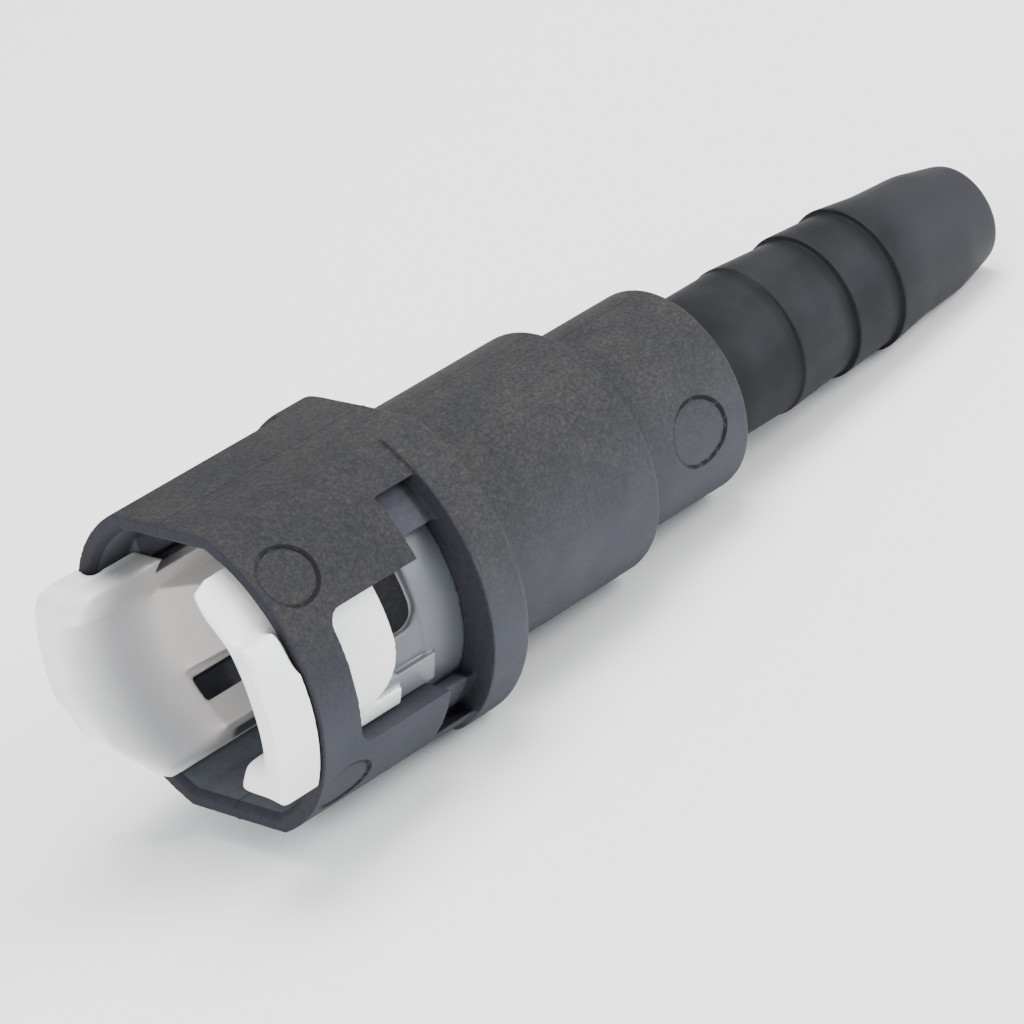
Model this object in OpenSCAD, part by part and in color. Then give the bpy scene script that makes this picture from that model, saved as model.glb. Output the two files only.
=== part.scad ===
// Straight quick-connect coupler for a plain tube end, with a barbed stem for a hose.
// A black moulded body carries two windows and a white one-piece spring retainer.
// X runs along the bore from the mouth to the barbed tip, with zero at the collar's front face.
// Z is up, across the two flats of the housing, and the windows look along Y. Millimetres.

/* [Housing] */
// Outer radius of the housing on its window sides
housing_r = 10.3; // [9.4:0.1:11.6]
// Length of the housing from the mouth to the collar
housing_l = 13.1; // [12:0.1:16]
// Wall between the housing's round sides and the cavity for the arms
shell_w = 1.15; // [0.9:0.05:1.5]
// Depth of the ridge of each flat below the round outside
flat_cut = 0.8; // [0.5:0.05:1]
// Wall between the ridge of each flat and the cavity
flat_wall = 1.1; // [0.8:0.05:1.3]
// Fall of each flat from its ridge, degrees
flat_draft = 1; // [0:0.25:2]
// Length of the narrower rear part of the cavity, where the ring sits
seat_l = 3.1; // [2.6:0.1:3.6]
// Clearance around the retainer's ring in its seat
seat_gap = 0.05; // [0.03:0.01:0.15]
// Chamfer around the mouth
mouth_chamfer = 0.35; // [0.1:0.05:0.5]

/* [Windows] */
// Length of the closed strap in front of each window
strap_l = 3; // [2.4:0.1:3.6]
// Half height of the front part of each window
window_z = 4.2; // [3.7:0.1:4.7]
// Step out to the half height of each window's rear part
notch_step = 0.75; // [0.4:0.05:1]
// Step out to the half height of the shallow recess around the rear part
recess_step = 3.4; // [2.6:0.1:3.6]
// Wall left under the shallow recess
recess_floor = 0.15; // [0.1:0.05:0.5]
// Corner radius of the windows
window_corner = 1.1; // [0.6:0.1:1.6]
// Reach of the sill below each arm into the cavity
sill_w = 2.2; // [1.6:0.1:2.6]
// Clearance between each arm and its sill
sill_gap = 0.15; // [0.08:0.01:0.3]

/* [Collar and barrel] */
// Height of the collar's rim above the housing
collar_rim = 0.3; // [0.1:0.1:1]
// Thickness of the collar
collar_l = 3; // [2.2:0.1:3.6]
// Wall around the seal chamber
barrel_w = 1.8; // [1.4:0.1:2.4]
// Length of the seal section behind the chamber
barrel_floor = 3.8; // [3:0.1:5]
// Wall around the end of the tube socket
step_w = 2.65; // [2.2:0.05:3.2]
// Length of the tube end section behind the socket
step_floor = 4.2; // [3.4:0.1:5]
// Rounding of the outer edges
edge_r = 0.4; // [0.3:0.1:0.8]
// Rounding of the inside corners at each step
root_r = 0.5; // [0.3:0.1:0.8]

/* [Hose stem] */
// Radius at the foot of each barb, which suits the hose
stem_r = 4.6; // [4.2:0.05:5]
// Height of the plain neck above the barbs' foot
neck_rise = 0.27; // [0.1:0.01:0.3]
// Height of the first barb above its foot
barb_rise = 0.4; // [0.3:0.05:0.6]
// Height of the second and third barbs above their foot
rear_barb_rise = 0.3; // [0.2:0.05:0.5]
// Length of the plain neck up to the first barb's shoulder
neck_l = 6.8; // [5:0.1:9]
// Length of the first barb
first_barb_l = 5.2; // [4:0.1:7]
// Length of the second barb
second_barb_l = 4.2; // [3:0.1:6]
// Length of the last barb's cone
last_cone_l = 3.5; // [3:0.1:4.5]
// Drop from the barbs' foot to the slim lead
lead_drop = 0.2; // [0.1:0.05:0.4]
// Length of the slim lead behind the last cone
lead_l = 3.6; // [2.5:0.1:5]
// Taper of the slim lead over its length
lead_taper = 0.2; // [0:0.05:0.3]
// Length of the tapered tip
tip_l = 3.5; // [2.2:0.1:4.5]
// Drop from the barbs' foot to the end of the tip
tip_drop = 1.2; // [0.8:0.05:1.4]
// Wall of the stem at the end of the tip
tip_w = 0.5; // [0.4:0.05:1]
// Flare of the stem's bore at its end
stem_flare = 0.3; // [0.1:0.05:0.35]

/* [Tube socket] */
// Radius of the tube that is pushed in
tube_r = 3.95; // [3.7:0.05:4.2]
// Radial clearance around the tube
tube_gap = 0.1; // [0.06:0.01:0.14]
// Length of the gland bush, from the collar's front face to the front seal
bush_l = 6.4; // [4:0.1:8]
// Step in from the retainer's ring to the bush's flange
bush_inset = 0.3; // [0.1:0.05:0.6]
// Thickness of the bush's flange
bush_flange_l = 1.2; // [0.8:0.1:1.6]
// Width of each O-ring along the axis
ring_w = 2.4; // [2.2:0.05:2.5]
// Squeeze of each O-ring on the tube
tube_squeeze = 0.12; // [0.05:0.01:0.2]
// Squeeze of each O-ring on the chamber's wall
wall_squeeze = 0.03; // [0.01:0.01:0.1]
// Width of the spacer between the O-rings
spacer_w = 1.6; // [1.2:0.1:2.2]
// Depth of the socket behind the seal chamber, where the tube's end is guided
pilot_l = 8.7; // [6:0.1:12]

/* [Retainer] */
// Clearance of the arms inside the housing
arm_gap = 0.3; // [0.1:0.05:0.4]
// Thickness of the arms
arm_w = 2; // [1.6:0.1:2.2]
// Half angle of the thick middle part of the press lobes
lobe_half = 29; // [24:1:34]
// Rim left around the hollow at each lobe's front edge
hollow_rim = 0.3; // [0.3:0.05:0.8]
// Depth of the hollow's rear end below the arm's inner face
hollow_rear = 0.2; // [0.1:0.05:0.5]
// Angle from the window's middle to the short end of the hollow
hollow_short = 22; // [12:1:26]
// Angle from the window's middle to the long end of the hollow
hollow_long = 62; // [60:1:66]
// Length of the press lobes in front of the mouth
lobe_l = 3.3; // [2.6:0.1:4]
// Height at which the slant of the near lobe's long side starts
near_slant_z = 6; // [5.4:0.1:6.6]
// Slant of the near lobe's long side, degrees
near_slant = 60; // [54:1:68]
// Height at which the slant of the far lobe's long side starts
far_slant_z = 5.2; // [4.6:0.1:5.8]
// Slant of the far lobe's long side, degrees
far_slant = 40; // [34:1:50]
// Corner radius on each lobe's short side
lobe_corner = 1; // [0.5:0.1:1.4]
// Gap between the press lobes and the mouth
lobe_gap = 0.15; // [0.1:0.05:0.3]
// Angle of each arm's long side from the window's middle
arm_long = 58; // [54:1:60]
// Height at which each arm's short side is cut off
arm_cut = 5.2; // [4.7:0.1:5.6]
// Gap between the rear edge of the arms and the ring
arm_slot = 2.5; // [1.8:0.1:3]
// Clearance between the ring and the flats of the cavity
ring_gap = 0.2; // [0.1:0.05:0.3]
// Thickness of the ring's wall
ring_wall = 0.8; // [0.7:0.05:1.6]
// Clearance of the catches' crest around the tube, which the tube's bead fills
catch_gap = 0.75; // [0.5:0.05:1]
// Length of the catches
catch_l = 4.5; // [4:0.1:5]
// Length of the square part behind each catch's ramp
catch_land = 1.1; // [0.6:0.1:1.6]
// Half angle of the catches
catch_half = 24; // [20:1:27]
// Corner radius of each arm's rear edge beside its leg
arm_corner = 2.8; // [2:0.1:3.2]
// Angle between each catch and the relief slot beside it
relief_gap = 4.5; // [3:0.5:6]
// Width of the relief slot beside each catch
relief_w = 1.6; // [1.2:0.1:1.8]
// Distance from the mouth to the front end of the relief slots
relief_in = 3.6; // [3:0.1:4.2]
// Distance of the legs' upper side below the window's middle
leg_top = 0.1; // [0:0.1:0.6]
// Fillet between each leg's upper side and the ring
leg_fillet = 1.3; // [0.8:0.1:1.6]
// Distance of each leg's raised foot below the window's middle
foot_top = 2.2; // [1.8:0.1:2.8]
// Height of the raised foot above the ring
foot_rise = 0.3; // [0.2:0.05:0.4]
// Length of the raised foot over the ring
foot_l = 0.5; // [0.2:0.1:1.5]
// Step from the ring's faces to the legs
leg_inset = 0.1; // [0.05:0.05:0.2]

/* [Ejector marks] */
// Radius of the marks on the housing
mark_r = 1.82; // [1.6:0.02:2]
// Radius of the marks on the tube end section
side_mark_r = 2.1; // [1.8:0.05:2.4]
// Depth of each mark
mark_d = 0.12; // [0.06:0.01:0.15]
// Distance of the housing marks from the mouth
mark_in = 2.25; // [2.05:0.05:2.6]
// Angle of the housing marks from the window's middle
mark_angle = 40.5; // [39:0.5:43]
// Distance of the side marks from the step at their front
side_mark_in = 5; // [3.5:0.1:5.4]

/* [Hidden] */
$fn = 96;
// Overlap between shapes that are joined or cut face to face
eps = 0.01;
// How far a cutting shape runs on past the surface that it cuts
over = 1;
// How far a joined shape runs on into the one that carries it
bite = 0.2;
mouth_x = -housing_l;
seat_x = -seat_l;
front_x = mouth_x - lobe_l;
cavity_r = housing_r - shell_w;
flat_z = housing_r - flat_cut;
cavity_z = flat_z - flat_wall;
notch_z = window_z + notch_step;
recess_z = window_z + recess_step;
recess_r = cavity_r + recess_floor;
collar_r = housing_r + collar_rim;
tube_bore_r = tube_r + tube_gap;
ring_inner_r = tube_r - tube_squeeze;
chamber_r = ring_inner_r + ring_w - wall_squeeze;
front_ring_x = bush_l;
spacer_x = front_ring_x + ring_w;
rear_ring_x = spacer_x + spacer_w;
chamber_l = rear_ring_x + ring_w;
socket_l = chamber_l + pilot_l;
barrel_r = chamber_r + barrel_w;
barrel_end = chamber_l + barrel_floor;
step_r = tube_bore_r + step_w;
step_end = socket_l + step_floor;
neck_r = stem_r + neck_rise;
barb_1_x = step_end + neck_l;
barb_2_x = barb_1_x + first_barb_l;
barb_3_x = barb_2_x + second_barb_l;
lead_x = barb_3_x + last_cone_l;
tip_x = lead_x + lead_l;
stem_end = tip_x + tip_l;
lead_r = stem_r - lead_drop;
tip_r = stem_r - tip_drop;
stem_bore_r = tip_r - tip_w;
lobe_r = housing_r;
arm_r = cavity_r - arm_gap;
arm_inner_r = arm_r - arm_w;
arm_rear = seat_x - arm_slot;
hollow_r = arm_r - hollow_rim;
hollow_rear_r = arm_inner_r + hollow_rear;
clip_r = cavity_z - ring_gap;
clip_inner_r = clip_r - ring_wall;
bush_r = clip_r - bush_inset;
catch_r = tube_r + catch_gap;
catch_x = arm_rear - catch_l;
relief_x = mouth_x + relief_in;
leg_z = window_z - sill_gap;
foot_r = clip_r + foot_rise;
sill_x = mouth_x + strap_l;
sill_y = cavity_r - sill_w;
relief_angle = catch_half + relief_gap;
relief_end = relief_angle + relief_w / arm_inner_r * 180 / PI;
side_mark_x = barrel_end + side_mark_in;
body_color = "#2f2e31";
white_color = "#eeefee";
seal_color = "#1c1c1e";
bush_color = "#3a3a3d";

// Turns a shape that stands along Z so that it lies along X and starts at x
module along_x(x) {
    translate([x, 0, 0]) rotate([0, 90, 0]) children();
}

// A plain ring or disc around the axis
module disc(r, x0, x1) {
    along_x(x0) cylinder(r = r, h = x1 - x0);
}

// A flat shape, radius along its first axis and X along its second, spun about the axis
// between two angles counted from -Y towards +Z
module spun(a0, a1) {
    along_x(0) rotate([0, 0, -90 - a1]) rotate_extrude(angle = a1 - a0) children();
}

// Part of a ring between two radii, two places along X and two angles
module sector(r_in, r_out, x0, x1, a0, a1) {
    spun(a0, a1) translate([r_in, x0]) square([r_out - r_in, x1 - x0]);
}

// Repeats a shape after half a turn about the axis
module both_sides() {
    children();
    rotate([180, 0, 0]) children();
}

// A revolved step with a rounded outer rear edge and a filleted foot behind it
module step(r, x0, x1, next_r) {
    along_x(0) rotate_extrude() {
        translate([0, x0]) square([r, x1 - x0 - edge_r]);
        translate([0, x0]) square([r - edge_r, x1 - x0]);
        translate([r - edge_r, x1 - edge_r]) circle(r = edge_r);
        translate([next_r - eps, x1 - eps]) difference() {
            square([root_r + eps, root_r + eps]);
            translate([root_r + eps, root_r + eps]) circle(r = root_r);
        }
    }
}

// Prism between the two ridged flats of the housing and the collar
module between_flats(x0, x1) {
    reach = collar_r + over;
    fall = reach * tan(flat_draft);
    along_x(x0) linear_extrude(x1 - x0)
        polygon([[-flat_z, 0], [fall - flat_z, reach], [flat_z - fall, reach],
                 [flat_z, 0], [flat_z - fall, -reach], [fall - flat_z, -reach]]);
}

// Half of the mouth's chamfer over the flat walls, as a wedge across the whole housing
module flat_chamfer() {
    rotate([90, 0, 0]) linear_extrude(2 * collar_r, center = true)
        polygon([[mouth_x - over, 0], [mouth_x - over, cavity_z + mouth_chamfer + over],
                 [mouth_x + mouth_chamfer, cavity_z], [mouth_x + mouth_chamfer, 0]]);
}

// The sill that fills the cavity's corner below one window, under the arm's short side
module sill() {
    translate([sill_x, -collar_r, -collar_r])
        cube([housing_l, collar_r - sill_y, collar_r - window_z]);
}

// The space in which the arms move, open at the mouth and chamfered there
module cavity() {
    difference() {
        intersection() {
            disc(cavity_r, mouth_x - eps, seat_x);
            cube([2 * housing_l, 2 * collar_r, 2 * cavity_z], center = true);
        }
        both_sides() sill();
    }
    intersection() {
        along_x(mouth_x - over) cylinder(r1 = cavity_r + mouth_chamfer + over, r2 = cavity_r,
            h = mouth_chamfer + over);
        both_sides() flat_chamfer();
    }
}

// A rectangle with round corners, measured from its front edge at x
module round_window(x, l, half_z, corner) {
    for (sx = [0, 1], sz = [-1, 1])
        translate([x + corner + sx * (l - 2 * corner), sz * (half_z - corner)]) circle(r = corner);
    translate([x + corner, -half_z]) square([l - 2 * corner, 2 * half_z]);
    translate([x, corner - half_z]) square([l, 2 * (half_z - corner)]);
}

// The opening of one window, cut outwards along -Y, and the shallow recess at its rear
module window_cut() {
    reach = collar_r + over;
    rotate([90, 0, 0]) linear_extrude(reach) {
        round_window(mouth_x + strap_l, housing_l - strap_l + eps - seat_l + window_corner,
            window_z, window_corner);
        translate([seat_x, -notch_z]) square([seat_l, 2 * notch_z]);
    }
    difference() {
        translate([seat_x, -reach, -recess_z]) cube([seat_l, reach, 2 * recess_z]);
        disc(recess_r, seat_x - over, over);
    }
}

// The shallow round recess left by an ejector pin in the surface at radius r
module pin_mark(x, r, a, pin_r) {
    difference() {
        translate([x, 0, 0]) rotate([-a, 0, 0]) translate([0, -r, 0]) rotate([90, 0, 0])
            cylinder(r = pin_r, h = 2 * over, center = true);
        disc(r - mark_d, x - pin_r - over, x + pin_r + over);
    }
}

// The marks beside one window and on one side of the tube end section
module pin_marks() {
    for (a = [-mark_angle, mark_angle]) pin_mark(mouth_x + mark_in, housing_r, a, mark_r);
    pin_mark(side_mark_x, step_r, 0, side_mark_r);
}

// Neck, three barbs that face the body, and the tapered lead
module hose_stem() {
    along_x(0) rotate_extrude() polygon([
        [0, step_end - over], [neck_r, step_end - over], [neck_r, barb_1_x],
        [stem_r + barb_rise, barb_1_x], [stem_r, barb_2_x],
        [stem_r + rear_barb_rise, barb_2_x], [stem_r, barb_3_x],
        [stem_r + rear_barb_rise, barb_3_x], [lead_r, lead_x],
        [lead_r - lead_taper, tip_x], [tip_r, stem_end], [0, stem_end]]);
}

// Everything that is bored out of the body along the axis
module inner_bores() {
    cavity();
    disc(clip_r + seat_gap, seat_x - over, 0);
    disc(bush_r, -eps, bush_flange_l);
    disc(chamber_r, 0, chamber_l);
    disc(tube_bore_r, 0, socket_l);
    disc(stem_bore_r, 0, stem_end + over);
    along_x(stem_end - stem_flare) cylinder(r1 = stem_bore_r, r2 = stem_bore_r + stem_flare,
        h = stem_flare + eps);
}

module body() {
    color(body_color) difference() {
        union() {
            intersection() {
                union() {
                    disc(housing_r, mouth_x, eps);
                    step(collar_r, 0, collar_l, barrel_r);
                }
                between_flats(mouth_x, collar_l + 2 * root_r);
            }
            step(barrel_r, collar_l - eps, barrel_end, step_r);
            step(step_r, barrel_end - eps, step_end, neck_r);
            hose_stem();
        }
        inner_bores();
        both_sides() {
            window_cut();
            pin_marks();
        }
    }
}

// The hollow inside an arm's front, which widens towards the lobe
module hollow() {
    spun(-hollow_short, hollow_long)
        polygon([[catch_r - over, front_x - over], [hollow_r, front_x - over], [hollow_r, front_x],
                 [hollow_rear_r, catch_x], [catch_r - over, catch_x]]);
}

// The lobe's round front corner on the arm's short side
module short_corner() {
    reach = lobe_r + over;
    translate([front_x - eps, -reach, -arm_cut - eps]) difference() {
        cube([lobe_corner, reach, lobe_corner]);
        translate([lobe_corner, -over, lobe_corner]) rotate([-90, 0, 0])
            cylinder(r = lobe_corner, h = reach + 2 * over);
    }
}

// The large round corner of the arm's rear edge above its leg
module rear_corner() {
    reach = lobe_r + over;
    difference() {
        translate([arm_rear - arm_corner, -reach, -leg_top - arm_corner])
            cube([arm_corner + over, reach, arm_corner]);
        translate([arm_rear - arm_corner - leg_inset, over, -leg_top])
            rotate([90, 0, 0]) cylinder(r = arm_corner, h = reach + 2 * over);
        disc(clip_r + leg_inset, arm_rear - arm_corner - over, arm_rear + 2 * over);
    }
}

// Everything cut away from one arm and its press lobe
module arm_cuts(slant_z, slant) {
    reach = lobe_r + over;
    hollow();
    translate([front_x - over, -reach, -arm_cut - reach])
        cube([housing_l + lobe_l, reach, reach]);
    translate([sill_x - sill_gap, -reach, -leg_z - reach]) cube([housing_l, reach, reach]);
    translate([front_x, -reach, slant_z]) rotate([0, -slant, 0])
        translate([-reach, 0, 0]) cube([reach + (lobe_l + over) / cos(slant), reach, reach]);
    short_corner();
    rear_corner();
    sector(arm_inner_r - over, arm_r + over, relief_x, arm_rear + over, relief_angle, relief_end);
}

// The wedge inside an arm: a ramp towards the mouth and a square face behind it
module catch_wedge() {
    spun(-catch_half, catch_half)
        polygon([[arm_inner_r + bite, catch_x], [arm_inner_r, catch_x],
                 [catch_r, arm_rear - catch_land], [catch_r, arm_rear],
                 [arm_inner_r + bite, arm_rear]]);
}

// The outline of a leg seen along Y: a bar with a fillet up to the ring's front edge
module leg_outline() {
    front = arm_rear - over - bite;
    translate([front, -leg_z]) square([seat_x + over - front, leg_z - leg_top]);
    translate([seat_x - leg_fillet, -leg_top - eps]) difference() {
        square([leg_fillet + bite, leg_fillet + eps]);
        translate([0, leg_fillet + eps]) circle(r = leg_fillet);
    }
}

// The leg that carries an arm from the ring, with a raised foot along its lower side
module leg() {
    intersection() {
        sector(clip_inner_r + leg_inset, clip_r - leg_inset, arm_rear - 2 * over, seat_x + over,
            -90, 90);
        rotate([90, 0, 0]) linear_extrude(lobe_r) leg_outline();
    }
    intersection() {
        sector(clip_r - bite, foot_r, arm_rear - arm_corner, seat_x + foot_l, -90, 90);
        translate([arm_rear - arm_corner, -lobe_r, -leg_z])
            cube([arm_corner + arm_slot + foot_l, lobe_r, leg_z - foot_top]);
    }
}

// One arm of the retainer with its press lobe, catch and leg
module retainer_arm(slant_z, slant) {
    difference() {
        union() {
            sector(arm_r - bite, lobe_r, front_x, mouth_x - lobe_gap, -arm_long, lobe_half);
            sector(arm_inner_r, arm_r, front_x, arm_rear, -arm_long, arm_long);
            catch_wedge();
        }
        arm_cuts(slant_z, slant);
    }
    leg();
}

module retainer() {
    color(white_color) {
        difference() {
            disc(clip_r, seat_x, 0);
            disc(clip_inner_r, seat_x - over, over);
        }
        retainer_arm(near_slant_z, near_slant);
        rotate([180, 0, 0]) retainer_arm(far_slant_z, far_slant);
    }
}

module gland_bush() {
    color(bush_color) difference() {
        union() {
            disc(bush_r, 0, bush_flange_l);
            disc(chamber_r, bush_flange_l - eps, bush_l);
        }
        disc(tube_bore_r, -over, bush_l + over);
    }
}

// A rubber ring of round cord, flattened where the chamber's wall squeezes it
module o_ring(x) {
    cord_r = ring_w / 2;
    along_x(x + cord_r) intersection() {
        rotate_extrude() translate([ring_inner_r + cord_r, 0]) circle(r = cord_r);
        cylinder(r = chamber_r, h = 2 * ring_w, center = true);
    }
}

module front_o_ring() {
    color(seal_color) o_ring(front_ring_x);
}

module spacer_ring() {
    color(bush_color) difference() {
        disc(chamber_r, spacer_x, rear_ring_x);
        disc(tube_bore_r, spacer_x - over, rear_ring_x + over);
    }
}

module rear_o_ring() {
    color(seal_color) o_ring(rear_ring_x);
}

body();
retainer();
gland_bush();
front_o_ring();
spacer_ring();
rear_o_ring();
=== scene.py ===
# %% [markdown]
# This lesson dresses a small moulded hose coupler for its portrait. The CAD model already holds
# every size, so the script loads it as a fixed frame.
# The real coupler is two mouldings, a black nylon body and a milky spring retainer, with a small
# stack of seals inside. The work here is to soften the edges as a mould does and to give each
# plastic its own skin.

# %% Load the fixed frame
import math

import bpy
from mathutils import Matrix, Vector


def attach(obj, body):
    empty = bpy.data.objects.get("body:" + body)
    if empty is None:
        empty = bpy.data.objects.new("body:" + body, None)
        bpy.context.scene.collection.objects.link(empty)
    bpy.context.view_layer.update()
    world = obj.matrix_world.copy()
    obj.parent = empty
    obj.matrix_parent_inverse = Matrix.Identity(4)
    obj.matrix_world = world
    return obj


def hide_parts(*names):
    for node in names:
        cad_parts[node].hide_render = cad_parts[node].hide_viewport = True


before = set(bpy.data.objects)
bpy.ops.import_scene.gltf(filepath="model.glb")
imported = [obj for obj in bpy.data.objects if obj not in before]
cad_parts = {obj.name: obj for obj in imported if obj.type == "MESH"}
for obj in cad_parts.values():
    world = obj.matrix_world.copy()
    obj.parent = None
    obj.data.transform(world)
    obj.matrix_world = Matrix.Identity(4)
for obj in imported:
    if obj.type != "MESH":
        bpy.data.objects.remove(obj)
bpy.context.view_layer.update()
MM = 0.001
print("CAD nodes:", sorted(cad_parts))

# %% [markdown]
# The camera stands where the photographer stood: in front of the mouth, a little to the left and
# above, far away with a long lens, so that the barrel hardly narrows towards its tip. Three
# directions give its turn. Back and right are known, and up follows from them.

# %% Place the camera
camera_place = Vector((-0.15988, -0.21879, 0.11928))
camera_right = Vector((0.70368, -0.67465, -0.22289))
camera_back = Vector((-0.56567, -0.72178, 0.39882))
camera_up = camera_back.cross(camera_right)
lens = bpy.data.cameras.new("portrait_lens")
lens.lens = 179.55
lens.sensor_width = 36
lens.clip_start = 0.01
camera = bpy.data.objects.new("portrait_camera", lens)
bpy.context.scene.collection.objects.link(camera)
turn = Matrix((camera_right, camera_up, camera_back)).transposed().to_4x4()
camera.matrix_world = Matrix.Translation(camera_place) @ turn
bpy.context.scene.camera = camera
print("camera distance in mm:", round(camera_place.length / MM, 1))

# %% [markdown]
# The coupler lies on a white table and touches it in two places: the rear edge of its collar and
# its tip. The CAD frame keeps the bore level, so here the table is tilted instead. The tilt is
# the slope of the line between the two places.

# %% Lay the table under the coupler
collar_rest = Vector((3.0, 0, -9.5)) * MM
tip_rest = Vector((52.5, 0, -3.4)) * MM
slope = math.atan2(tip_rest.z - collar_rest.z, tip_rest.x - collar_rest.x)


def plain_finish(name, color, roughness):
    material = bpy.data.materials.new(name)
    material.use_nodes = True
    shader = material.node_tree.nodes["Principled BSDF"]
    shader.inputs["Base Color"].default_value = (*color, 1)
    shader.inputs["Roughness"].default_value = roughness
    return material


bpy.ops.object.select_all(action="DESELECT")
bpy.ops.mesh.primitive_plane_add(size=6, location=collar_rest, rotation=(0, -slope, 0))
table = bpy.context.active_object
table.name = "table"
table.data.materials.append(plain_finish("white_table", (0.93, 0.93, 0.93), 0.7))
print("table tilt in degrees:", round(math.degrees(slope), 2))

# %% [markdown]
# The light is a plain studio set-up: a bright even surround that keeps the table nearly white,
# a large soft box on the camera's right that lights the sides, one overhead, a cool low one near
# the table, and one in front of the mouth that shines into the hollow lobes and the bore.

# %% Hang the lights
def soft_box(name, place, size, power, color):
    data = bpy.data.lights.new(name, "AREA")
    data.size = size
    data.energy = power
    data.color = color
    lamp = bpy.data.objects.new(name, data)
    lamp.location = place
    lamp.rotation_euler = Vector(place).to_track_quat("Z", "Y").to_euler()
    bpy.context.scene.collection.objects.link(lamp)
    return lamp


soft_box("side_box", (0.26, -0.42, 0.34), 0.3, 3.6, (1, 0.985, 0.96))
soft_box("top_box", (0.08, 0.05, 0.6), 0.4, 5.8, (1, 0.985, 0.96))
soft_box("low_box", (0.38, -0.42, 0.1), 0.25, 1.8, (0.7, 0.83, 1))
soft_box("mouth_box", (-0.5, -0.16, 0.16), 0.25, 2.4, (0.95, 0.98, 1))
tent = bpy.data.worlds.new("tent")
tent.use_nodes = True
tent.node_tree.nodes["Background"].inputs["Color"].default_value = (0.93, 0.96, 1, 1)
tent.node_tree.nodes["Background"].inputs["Strength"].default_value = 0.93
bpy.context.scene.world = tent

# %% [markdown]
# A moulded part has no sharp edge: the tool's corners are a little round, and the plastic shrinks
# in them. The CAD solids keep their edges crisp, so each moulding gets a soft skin. A copy of the
# CAD mesh is merged, remeshed into small even squares, and ironed with a smoothing modifier. The
# skin stays inside the CAD's outline, because smoothing only takes from the corners.

# %% A helper that copies a CAD solid and remeshes it
def even_copy(node, name, square):
    skin = bpy.data.objects.new(name, bpy.data.objects[node].data.copy())
    bpy.context.scene.collection.objects.link(skin)
    bpy.ops.object.select_all(action="DESELECT")
    skin.select_set(True)
    bpy.context.view_layer.objects.active = skin
    bpy.ops.object.mode_set(mode="EDIT")
    bpy.ops.mesh.select_all(action="SELECT")
    bpy.ops.mesh.remove_doubles(threshold=0.001 * MM)
    bpy.ops.object.mode_set(mode="OBJECT")
    cloth = skin.modifiers.new("even_squares", "REMESH")
    cloth.mode = "VOXEL"
    cloth.voxel_size = square
    bpy.ops.object.modifier_apply(modifier=cloth.name)
    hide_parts(node)
    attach(skin, "root")
    print(name, "has", len(skin.data.polygons), "even squares")
    return skin


# %% [markdown]
# Some places need more smoothing than others. A helper weighs every point by a rule on its place
# in millimetres and its normal, rounds the weights to tenths so that they can be stored in ten
# strokes, and irons by them. Another thins a finished skin where it is flat.

# %% Helpers that iron and thin a skin
def clamp(value):
    return min(1.0, max(0.0, value))


def iron(skin, rounds, name, weigh):
    group = skin.vertex_groups.new(name=name)
    tenths = {}
    for point in skin.data.vertices:
        weight = round(10 * clamp(weigh(point.co / MM, point.normal)))
        tenths.setdefault(weight, []).append(point.index)
    for weight, picked in tenths.items():
        if weight:
            group.add(picked, weight / 10, "REPLACE")
    step = skin.modifiers.new("ironed", "SMOOTH")
    step.factor = 0.5
    step.iterations = rounds
    step.vertex_group = group.name
    bpy.context.view_layer.objects.active = skin
    bpy.ops.object.modifier_apply(modifier=step.name)
    print(name, "ironed on", len(skin.data.vertices) - len(tenths.get(0, [])), "points")


def thin(skin, faces):
    comb = skin.modifiers.new("thinned", "DECIMATE")
    comb.ratio = min(1, faces / (2 * len(skin.data.polygons)))
    bpy.context.view_layer.objects.active = skin
    bpy.ops.object.modifier_apply(modifier=comb.name)
    skin.vertex_groups.clear()
    bpy.ops.object.select_all(action="DESELECT")
    skin.select_set(True)
    bpy.ops.object.shade_smooth()
    print(skin.name, "has", len(skin.data.polygons), "faces")


# %% [markdown]
# The body is one moulding from the mouth to the barbed tip. Its edges are rounded by about a
# quarter of a millimetre, and the lips of the barbs and the nose a little more, because a hose
# has to slide over them. The shallow circles of the ejector pins are kept out of the ironing.

# %% Skin the black body
pin_marks = ((-10.85, 40.5, 10.3), (-10.85, -40.5, 10.3), (21.6, 0, 6.7))


def off_the_pin_marks(place, normal):
    for x, angle, radius in pin_marks:
        y = radius * math.cos(math.radians(angle))
        z = radius * math.sin(math.radians(angle))
        for side in (-1, 1):
            if (place - Vector((x, side * y, z))).length < 2.6:
                return 0
    return 1


def on_the_barbs(place, normal):
    return clamp((place.x - 31) / 1.5)


def on_the_nose(place, normal):
    return clamp((place.x - 46) / 2)


body_skin = even_copy("body", "moulded_body", 0.1 * MM)
iron(body_skin, 5, "edges", off_the_pin_marks)
iron(body_skin, 4, "barbs", on_the_barbs)
iron(body_skin, 120, "nose", on_the_nose)
thin(body_skin, 195000)

# %% [markdown]
# The retainer is softer. Its two press lobes are hollowed out in one sweep, with no line where
# the hollow starts, so the inside and the front rim are ironed much longer than the outlines.
# Where the tongue beside a lobe swells up to the lobe's full height, the step becomes a ramp.

# %% Skin the white retainer
def around_the_bore(place):
    return math.hypot(place.y, place.z)


def turn_to_the_long_side(place):
    return math.degrees(math.atan2(math.copysign(place.z, -place.y * place.z), abs(place.y)))


def inside_the_lobes(place, normal):
    radius = around_the_bore(place)
    inward = -(place.y * normal.y + place.z * normal.z) / radius
    if inward > 0.2 or radius < 8.65:
        turn = turn_to_the_long_side(place)
        end = -8.8 - 0.9 * clamp((turn - 20) / 5) - 2.2 * clamp((-18 - turn) / 6)
        return clamp((end - place.x) / 0.9)
    return clamp((10.2 - radius) / 1.0) * clamp((-14.2 - place.x) / 1.0)


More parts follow.
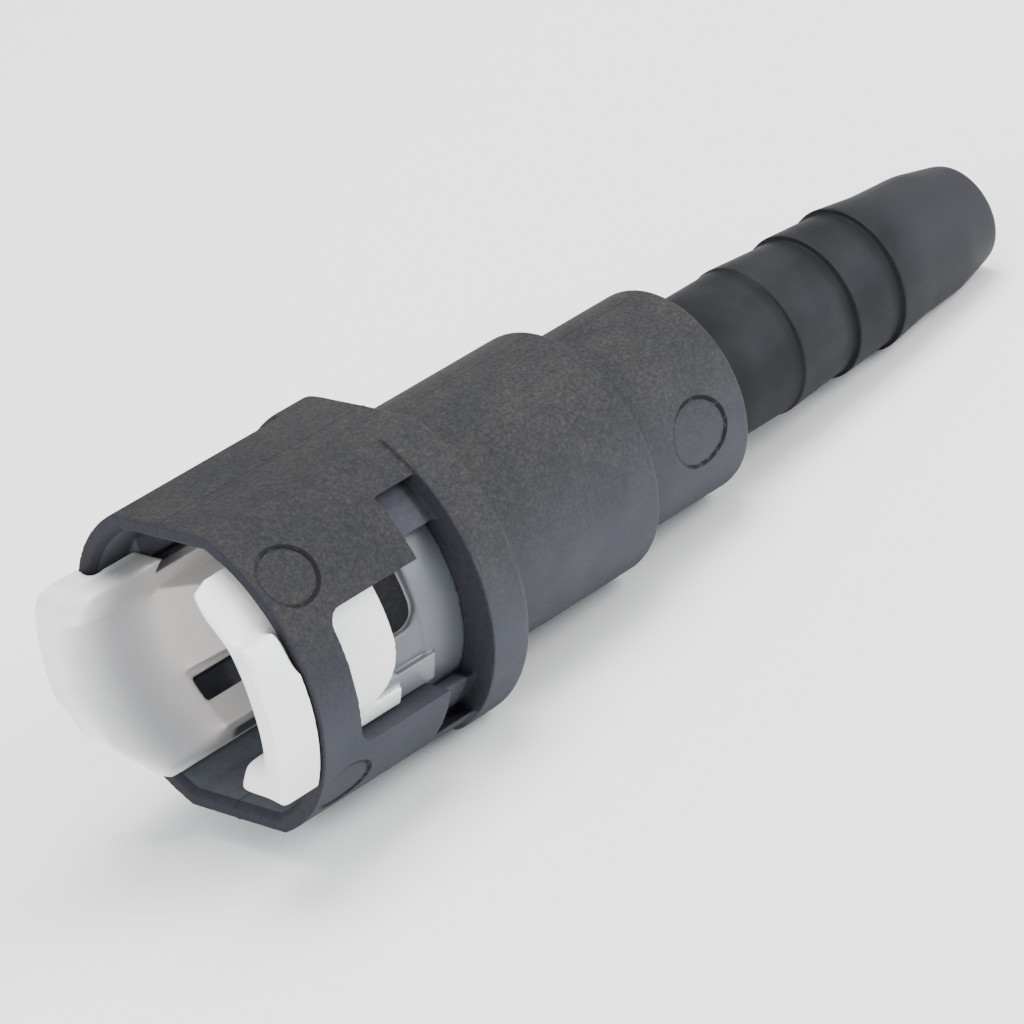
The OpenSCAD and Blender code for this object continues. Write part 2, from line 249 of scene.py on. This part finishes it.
def on_the_far_shoulder(place, normal):
    if place.y < 0:
        return 0
    turn = turn_to_the_long_side(place)
    return clamp((-14 - turn) / 4) * clamp((9.9 - around_the_bore(place)) / 0.9) * clamp(-12.6 - place.x)


def on_the_ramps(place, normal):
    middle = 1 - abs(turn_to_the_long_side(place) - 29) / 17
    return clamp(4 * middle) * clamp((around_the_bore(place) - 8.2) / 0.4) * clamp(-12.7 - place.x)


def on_the_lobes(place, normal):
    return clamp((-12.9 - place.x) / 0.8)


retainer_skin = even_copy("retainer", "moulded_retainer", 0.09 * MM)
iron(retainer_skin, 8, "edges", lambda place, normal: 1)
iron(retainer_skin, 30, "lobes", on_the_lobes)
iron(retainer_skin, 550, "ramps", on_the_ramps)
iron(retainer_skin, 700, "hollows", inside_the_lobes)
iron(retainer_skin, 300, "far_shoulder", on_the_far_shoulder)
thin(retainer_skin, 150000)

# %% [markdown]
# Every finish below is a small net of nodes. These helpers add a node with its settings and
# join two sockets, so that each net reads as a short recipe.

# %% Helpers for mixing a finish
def shader_of(material):
    return material.node_tree.nodes["Principled BSDF"]


def add_node(material, kind, **settings):
    node = material.node_tree.nodes.new(kind)
    for key, value in settings.items():
        if key in node.inputs:
            node.inputs[key].default_value = value
        else:
            setattr(node, key, value)
    return node


def join(material, start, end):
    material.node_tree.links.new(start, end)


def ramp(material, source, *stops):
    node = add_node(material, "ShaderNodeValToRGB")
    bar = node.color_ramp
    while len(bar.elements) < len(stops):
        bar.elements.new(0.5)
    for element, (position, color) in zip(bar.elements, stops):
        element.position = position
        element.color = (*color, 1)
    join(material, source, node.inputs["Fac"])
    return node.outputs["Color"]


def blend_colors(material, mode, amount, first, second):
    node = add_node(material, "ShaderNodeMix", data_type="RGBA", blend_type=mode)
    if isinstance(amount, float):
        node.inputs[0].default_value = amount
    else:
        join(material, amount, node.inputs[0])
    for value, socket in ((first, node.inputs[6]), (second, node.inputs[7])):
        if isinstance(value, tuple):
            socket.default_value = (*value, 1)
        else:
            join(material, value, socket)
    return node.outputs[2]


# %% [markdown]
# Every finish is laid out on Object coordinates, so that it stays in the plastic whatever moves.
# These helpers give the place on the piece, a band of it as a mask, and a noise on it.

# %% Helpers for placing a finish
def place_on(material):
    return add_node(material, "ShaderNodeTexCoord").outputs["Object"]


def band(material, value, start, end):
    node = add_node(material, "ShaderNodeMapRange", interpolation_type="SMOOTHSTEP")
    node.inputs["From Min"].default_value = start
    node.inputs["From Max"].default_value = end
    join(material, value, node.inputs["Value"])
    return node.outputs["Result"]


def calculate(material, operation, first, second):
    node = add_node(material, "ShaderNodeMath", operation=operation)
    for value, socket in ((first, node.inputs[0]), (second, node.inputs[1])):
        if isinstance(value, (int, float)):
            socket.default_value = value
        else:
            join(material, value, socket)
    return node.outputs[0]


def noise(material, place, scale, detail):
    node = add_node(material, "ShaderNodeTexNoise", Scale=scale, Detail=detail, Roughness=0.6)
    join(material, place, node.inputs["Vector"])
    return node.outputs["Fac"]


def along(material, place, axis):
    node = add_node(material, "ShaderNodeSeparateXYZ")
    join(material, place, node.inputs[0])
    return node.outputs[axis]


# %% [markdown]
# Black nylon. The tool was spark eroded, so the skin is a fine frost of pits about a fifth of a
# millimetre across. Its tone is partly its own mottle and partly painted highlights: pale specks
# where the pits' brims catch the light. Larger clouds of tone come from the way the frost wears.
# Two noises of different grain are added, and a ramp turns them into tone.

# %% Mix the black nylon
nylon = plain_finish("black_nylon", (0.04, 0.04, 0.04), 0.6)
shader_of(nylon).inputs["Specular IOR Level"].default_value = 0.12
place = place_on(nylon)
frost = noise(nylon, place, 5200.0, 4.0)
grain = noise(nylon, place, 2300.0, 2.0)
clouds = noise(nylon, place, 330.0, 3.0)
mottle = calculate(nylon, "ADD", calculate(nylon, "MULTIPLY", frost, 0.72),
                   calculate(nylon, "MULTIPLY", grain, 0.28))
# Painted highlights: the pale top of this ramp paints the specks where the frost's brims catch the
# light.
frost_and_glint_tone = ramp(nylon, mottle, (0.34, (0.0158, 0.016, 0.0182)), (0.47, (0.0228, 0.0229, 0.0247)),
                  (0.58, (0.0318, 0.0313, 0.032)), (0.7, (0.0445, 0.0433, 0.0425)))
cloud_tone = ramp(nylon, clouds, (0.32, (0.8, 0.81, 0.85)), (0.66, (1.05, 1.02, 0.98)))
housing_tone = blend_colors(nylon, "MULTIPLY", 1.0, frost_and_glint_tone, cloud_tone)

# %% [markdown]
# Low on the sides a lighter, cooler tone with fewer pale specks is a painted reflection of cool
# light from below. The housing is painted darker towards the mouth, as painted shade. The frost is
# missing on the mouth's rim, in the recess in front of the collar and inside, which other steel
# formed. Masks by height, by place along the bore and by distance from the axis bring in two
# calmer tones: a dark one for the rim and the recess, painted shade on faces turned from the
# light, and a lighter one for the inside, painted light on walls in shade.

# %% Paint reflection, shade and light into the housing's tone
# Painted reflection: a lighter, cooler tone for the low sides.
cool_reflection_tone = ramp(nylon, clouds, (0.3, (0.042, 0.0438, 0.053)), (0.7, (0.05, 0.052, 0.062)))
# Painted shade: a dark smooth tone for the mouth's rim and the recess in front of the collar.
painted_shade_tone = ramp(nylon, grain, (0.3, (0.019, 0.019, 0.0245)), (0.7, (0.025, 0.025, 0.0315)))
# Painted light: a lighter tone for the inner walls, which lie in shade.
painted_light_inside = ramp(nylon, grain, (0.3, (0.075, 0.079, 0.093)), (0.7, (0.09, 0.095, 0.11)))
bore_x = along(nylon, place, "X")
height_z = along(nylon, place, "Z")
# Painted reflection: this mask brings the cool tone in low on the sides.
cool_reflection_mask = calculate(nylon, "MULTIPLY", band(nylon, height_z, 5.5 * MM, -4 * MM), 0.85)
housing_tone = blend_colors(nylon, "MIX", cool_reflection_mask, housing_tone, cool_reflection_tone)
# Painted shade: the housing grows darker towards the mouth.
shade_towards_mouth = ramp(nylon, band(nylon, bore_x, 1 * MM, -4 * MM), (0, (1, 1, 1)), (1, (0.86, 0.86, 0.88)))
housing_tone = blend_colors(nylon, "MULTIPLY", 1.0, housing_tone, shade_towards_mouth)
in_recess = calculate(nylon, "MULTIPLY", band(nylon, bore_x, -3.2 * MM, -3.05 * MM),
                      band(nylon, bore_x, 0.12 * MM, 0.02 * MM))
beside_flats = calculate(nylon, "ABSOLUTE", height_z, 0)
in_recess = calculate(nylon, "MULTIPLY", in_recess,
                      band(nylon, beside_flats, 7.75 * MM, 7.6 * MM))
around = add_node(nylon, "ShaderNodeVectorMath", operation="MULTIPLY")
around.inputs[1].default_value = (0, 1, 1)
join(nylon, place, around.inputs[0])
off_axis = add_node(nylon, "ShaderNodeVectorMath", operation="LENGTH")
join(nylon, around.outputs[0], off_axis.inputs[0])
off_axis = off_axis.outputs["Value"]
chamfer = calculate(nylon, "MULTIPLY", band(nylon, bore_x, -12.6 * MM, -12.75 * MM),
                    band(nylon, off_axis, 9.46 * MM, 9.38 * MM))
rim = calculate(nylon, "MAXIMUM", chamfer, band(nylon, bore_x, -12.9 * MM, -13.0 * MM))
# Painted shade on the mouth's rim and in the recess in front of the collar.
housing_tone = blend_colors(nylon, "MIX", calculate(nylon, "MAXIMUM", rim, in_recess),
                            housing_tone, painted_shade_tone)
inside = calculate(nylon, "MULTIPLY", band(nylon, off_axis, 9.35 * MM, 9.2 * MM),
                   band(nylon, bore_x, -0.5 * MM, -0.8 * MM))
inside = calculate(nylon, "MULTIPLY", inside, band(nylon, bore_x, -12.75 * MM, -12.6 * MM))
off_sill = calculate(nylon, "ABSOLUTE", calculate(nylon, "SUBTRACT", beside_flats, 4.2 * MM), 0)
inside = calculate(nylon, "MULTIPLY", inside, band(nylon, off_sill, 0.25 * MM, 0.4 * MM))
# Painted light on the inner walls.
housing_tone = blend_colors(nylon, "MIX", inside, housing_tone, painted_light_inside)

# %% [markdown]
# The barbed stem was polished in the tool, so that a hose slides on and seals. It has no frost,
# only faint clouds where the plastic flowed in, with a cooler tone, and it is a little glossier.
# A mask along the bore changes one finish into the other just behind the last step.

# %% Polish the stem
from_the_step = band(nylon, bore_x, 25.4 * MM, 26.6 * MM)
flow = noise(nylon, place, 240.0, 2.0)
stem_tone = ramp(nylon, flow, (0.34, (0.0075, 0.008, 0.0095)), (0.5, (0.0105, 0.011, 0.0132)),
                 (0.68, (0.0145, 0.015, 0.0172)))
faint_frost = ramp(nylon, frost, (0.3, (0.88, 0.88, 0.9)), (0.7, (1.1, 1.1, 1.08)))
stem_tone = blend_colors(nylon, "MULTIPLY", 1.0, stem_tone, faint_frost)
on_nose = calculate(nylon, "MULTIPLY", band(nylon, bore_x, 42 * MM, 47 * MM), 0.7)
stem_tone = blend_colors(nylon, "MIX", on_nose, stem_tone, (0.024, 0.0245, 0.028))

# %% [markdown]
# The corner in front of each barb and the neck behind the last step are painted darker, as painted
# shade. Each barb's shoulder looks towards the body, so the dark band lies on that side of it: it
# fades in along the bore and stops at the shoulder.

# %% Paint shade into the corners of the stem
def corner_shade(fade_in, full, end):
    rising = band(nylon, bore_x, fade_in * MM, full * MM)
    return calculate(nylon, "MULTIPLY", rising, band(nylon, bore_x, (end + 0.1) * MM, end * MM))


painted_shade_in_corners = corner_shade(31.4, 32.4, 32.5)
for shoulder in (37.7, 41.9):
    painted_shade_in_corners = calculate(nylon, "ADD", painted_shade_in_corners,
                                corner_shade(shoulder - 1.3, shoulder - 0.1, shoulder))
behind_step = calculate(nylon, "MULTIPLY", band(nylon, bore_x, 25.6 * MM, 25.9 * MM),
                        band(nylon, bore_x, 29.6 * MM, 27.2 * MM))
painted_shade_in_corners = calculate(nylon, "ADD", painted_shade_in_corners,
                            calculate(nylon, "MULTIPLY", behind_step, 0.8))
# Painted shade: the corners of the stem are darkened.
stem_tone = blend_colors(nylon, "MIX", calculate(nylon, "MULTIPLY", painted_shade_in_corners, 0.8),
                         stem_tone, (0.0025, 0.0026, 0.0033))
black_tone = blend_colors(nylon, "MIX", from_the_step, housing_tone, stem_tone)
sheen = band(nylon, from_the_step, -0.5, 2.2)
join(nylon, calculate(nylon, "SUBTRACT", 0.7, calculate(nylon, "MULTIPLY", sheen, 0.22)),
     shader_of(nylon).inputs["Roughness"])

# %% [markdown]
# An ejector pin leaves a fine line where its rim met the tool's wall. The marks lie the same way
# on all four quarters of the housing, so the place is folded with its absolute value, and one
# distance draws all of them. A mask by the distance from the axis keeps them off the inner wall.
# The line is stronger towards the collar, as painted shadow where the recess's edge is in shade,
# and broken by the noise.

# %% Draw the rims of the ejector marks
folded = add_node(nylon, "ShaderNodeVectorMath", operation="ABSOLUTE")
join(nylon, place, folded.inputs[0])


def pin_rim(x, angle, radius, pin_radius):
    y = radius * math.cos(math.radians(angle))
    z = radius * math.sin(math.radians(angle))
    away = add_node(nylon, "ShaderNodeVectorMath", operation="DISTANCE")
    away.inputs[1].default_value = Vector((abs(x), y, z)) * MM
    join(nylon, folded.outputs[0], away.inputs[0])
    off = calculate(nylon, "SUBTRACT", away.outputs["Value"], (pin_radius + 0.03) * MM)
    line = band(nylon, calculate(nylon, "ABSOLUTE", off, 0), 0.17 * MM, 0.07 * MM)
    # Painted shadow: the line is darker on one side of the mark.
    shadow_side = band(nylon, bore_x, (x - pin_radius) * MM, (x + 0.6) * MM)
    return calculate(nylon, "MULTIPLY", line, calculate(nylon, "ADD", 0.3, shadow_side))


broken = band(nylon, grain, 0.38, 0.5)
housing_rims = calculate(nylon, "MULTIPLY", pin_rim(-10.85, 40.5, 10.3, 1.82),
                         band(nylon, off_axis, 9.4 * MM, 9.7 * MM))
rims = calculate(nylon, "ADD", housing_rims, pin_rim(21.6, 0, 6.7, 2.1))
rims = calculate(nylon, "MULTIPLY", rims, calculate(nylon, "ADD", 0.35, broken))
rims = calculate(nylon, "MINIMUM", rims, 0.9)
black_tone = blend_colors(nylon, "MIX", rims, black_tone, (0.003, 0.003, 0.0035))

# %% [markdown]
# The two halves of the tool met in the plane through the bore, which leaves a hair line along the
# ridge of each flat. It is a slightly darker thread, and it is part of the bump too.

# %% Draw the parting line and finish the black nylon
seam_side = calculate(nylon, "ABSOLUTE", along(nylon, place, "Y"), 0)
seam = band(nylon, seam_side, 0.09 * MM, 0.03 * MM)
seam = calculate(nylon, "MULTIPLY", seam, 0.45)
black_tone = blend_colors(nylon, "MIX", seam, black_tone, (0.006, 0.006, 0.007))
join(nylon, black_tone, shader_of(nylon).inputs["Base Color"])
smooth_part = calculate(nylon, "MAXIMUM", from_the_step, calculate(nylon, "MAXIMUM", rim, inside))
rough_part = calculate(nylon, "SUBTRACT", 1.15, smooth_part)
height = calculate(nylon, "MULTIPLY", mottle, rough_part)
height = calculate(nylon, "SUBTRACT", height, calculate(nylon, "ADD", rims, seam))
bump = add_node(nylon, "ShaderNodeBump", Strength=0.6, Distance=0.06 * MM)
join(nylon, height, bump.inputs["Height"])
join(nylon, bump.outputs["Normal"], shader_of(nylon).inputs["Normal"])
body_skin.data.materials.clear()
body_skin.data.materials.append(nylon)
print("black nylon has", len(nylon.node_tree.nodes), "nodes")

# %% [markdown]
# Milky nylon. Natural nylon lets some light through. Thick parts look white, and where a thin wall
# lies on the black body, as at the ring and its legs, it looks grey. The floor of each hollow is
# painted darker, and the inside of each arm behind the lobes a darker, warmer tone, both as
# painted shade.

# %% Mix the milky nylon
milk = plain_finish("milky_nylon", (0.78, 0.79, 0.8), 0.38)
shader_of(milk).inputs["Subsurface Weight"].default_value = 0.3
shader_of(milk).inputs["Subsurface Radius"].default_value = (1.0, 0.9, 0.85)
shader_of(milk).inputs["Subsurface Scale"].default_value = 1.0 * MM
place = place_on(milk)
behind_arm = band(milk, along(milk, place, "X"), -9.2 * MM, -8.6 * MM)
across = add_node(milk, "ShaderNodeVectorMath", operation="MULTIPLY")
across.inputs[1].default_value = (0, 1, 1)
join(milk, place, across.inputs[0])
radius = add_node(milk, "ShaderNodeVectorMath", operation="LENGTH")
join(milk, across.outputs[0], radius.inputs[0])
under_arm = band(milk, radius.outputs["Value"], 8.78 * MM, 8.42 * MM)
outside = band(milk, radius.outputs["Value"], 7.55 * MM, 7.85 * MM)
thin_wall = calculate(milk, "MULTIPLY", behind_arm, calculate(milk, "MULTIPLY", under_arm, outside))
milk_tone = ramp(milk, noise(milk, place, 260.0, 2.0), (0.35, (0.73, 0.73, 0.725)),
                 (0.65, (0.79, 0.785, 0.775)))
speck_tone = ramp(milk, noise(milk, place, 3200.0, 3.0), (0.25, (0.95, 0.95, 0.95)),
                  (0.45, (1, 1, 1)))
milk_tone = blend_colors(milk, "MULTIPLY", 1.0, milk_tone, speck_tone)
arm_x = along(milk, place, "X")
inner = band(milk, radius.outputs["Value"], 8.75 * MM, 8.1 * MM)
# Painted shade: the floor of each hollow is darker.
shaded_hollow_floor = calculate(milk, "MULTIPLY", band(milk, arm_x, -15.6 * MM, -12.6 * MM), inner)
milk_tone = blend_colors(milk, "MIX", calculate(milk, "MULTIPLY", shaded_hollow_floor, 0.85), milk_tone,
                         (0.33, 0.325, 0.335))
# Painted shade: a darker, warmer tone inside the arms behind the lobes.
shaded_inner_arm = calculate(milk, "MULTIPLY", band(milk, arm_x, -12.4 * MM, -10 * MM), inner)
milk_tone = blend_colors(milk, "MIX", calculate(milk, "MULTIPLY", shaded_inner_arm, 0.8), milk_tone,
                         (0.56, 0.525, 0.5))
milk_tone = blend_colors(milk, "MIX", thin_wall, milk_tone, (0.08, 0.086, 0.1))
join(milk, milk_tone, shader_of(milk).inputs["Base Color"])
gloss = band(milk, noise(milk, place, 700.0, 2.0), 0.2, 0.8)
join(milk, calculate(milk, "ADD", 0.3, calculate(milk, "MULTIPLY", gloss, 0.16)),
     shader_of(milk).inputs["Roughness"])
retainer_skin.data.materials.clear()
retainer_skin.data.materials.append(milk)

# %% [markdown]
# Inside the body lie a gland bush, a spacer and two rubber rings. Their CAD solids already have
# the right shape, because they are plain turned forms, so they stay and only get a finish. The
# bush is glass-filled nylon, a little lighter than the body, with pale fibres in its skin; its tone
# is raised further as painted light, because it lies in shade inside the body.

# %% Finish the bush and the spacer
bush_plastic = plain_finish("glass_filled_nylon", (0.06, 0.06, 0.065), 0.5)
place = place_on(bush_plastic)
stretched = add_node(bush_plastic, "ShaderNodeVectorMath", operation="MULTIPLY")
stretched.inputs[1].default_value = (1, 4, 4)
join(bush_plastic, place, stretched.inputs[0])
fibres = noise(bush_plastic, stretched.outputs[0], 2600.0, 3.0)
# Painted light: the bush's tone is raised because it lies in shade.
bush_tone_and_painted_light = ramp(bush_plastic, fibres, (0.4, (0.1, 0.1, 0.11)), (0.6, (0.14, 0.14, 0.15)),
                 (0.74, (0.22, 0.22, 0.22)))
join(bush_plastic, bush_tone_and_painted_light, shader_of(bush_plastic).inputs["Base Color"])
bush_bump = add_node(bush_plastic, "ShaderNodeBump", Strength=0.3, Distance=0.03 * MM)
join(bush_plastic, fibres, bush_bump.inputs["Height"])
join(bush_plastic, bush_bump.outputs["Normal"], shader_of(bush_plastic).inputs["Normal"])


def dress(node, finish):
    for slot in bpy.data.objects[node].material_slots:
        slot.material = finish


for node in ("gland_bush", "spacer_ring"):
    dress(node, bush_plastic)

# %% [markdown]
# The two O-rings are oiled rubber: deep black, smooth, with a soft gloss that the oil film makes
# uneven. A wide noise moves the roughness, and a fine one gives the faint grain of the rubber.

# %% Finish the rubber rings
rubber = plain_finish("oiled_rubber", (0.012, 0.012, 0.013), 0.35)
place = place_on(rubber)
film = band(rubber, noise(rubber, place, 600.0, 2.0), 0.3, 0.7)
join(rubber, calculate(rubber, "ADD", 0.25, calculate(rubber, "MULTIPLY", film, 0.25)),
     shader_of(rubber).inputs["Roughness"])
rubber_grain = noise(rubber, place, 6000.0, 2.0)
rubber_tone = ramp(rubber, rubber_grain, (0.35, (0.009, 0.009, 0.01)),
                   (0.7, (0.022, 0.022, 0.023)))
join(rubber, rubber_tone, shader_of(rubber).inputs["Base Color"])
rubber_bump = add_node(rubber, "ShaderNodeBump", Strength=0.2, Distance=0.01 * MM)
join(rubber, rubber_grain, rubber_bump.inputs["Height"])
join(rubber, rubber_bump.outputs["Normal"], shader_of(rubber).inputs["Normal"])
for node in ("front_o_ring", "rear_o_ring"):
    dress(node, rubber)
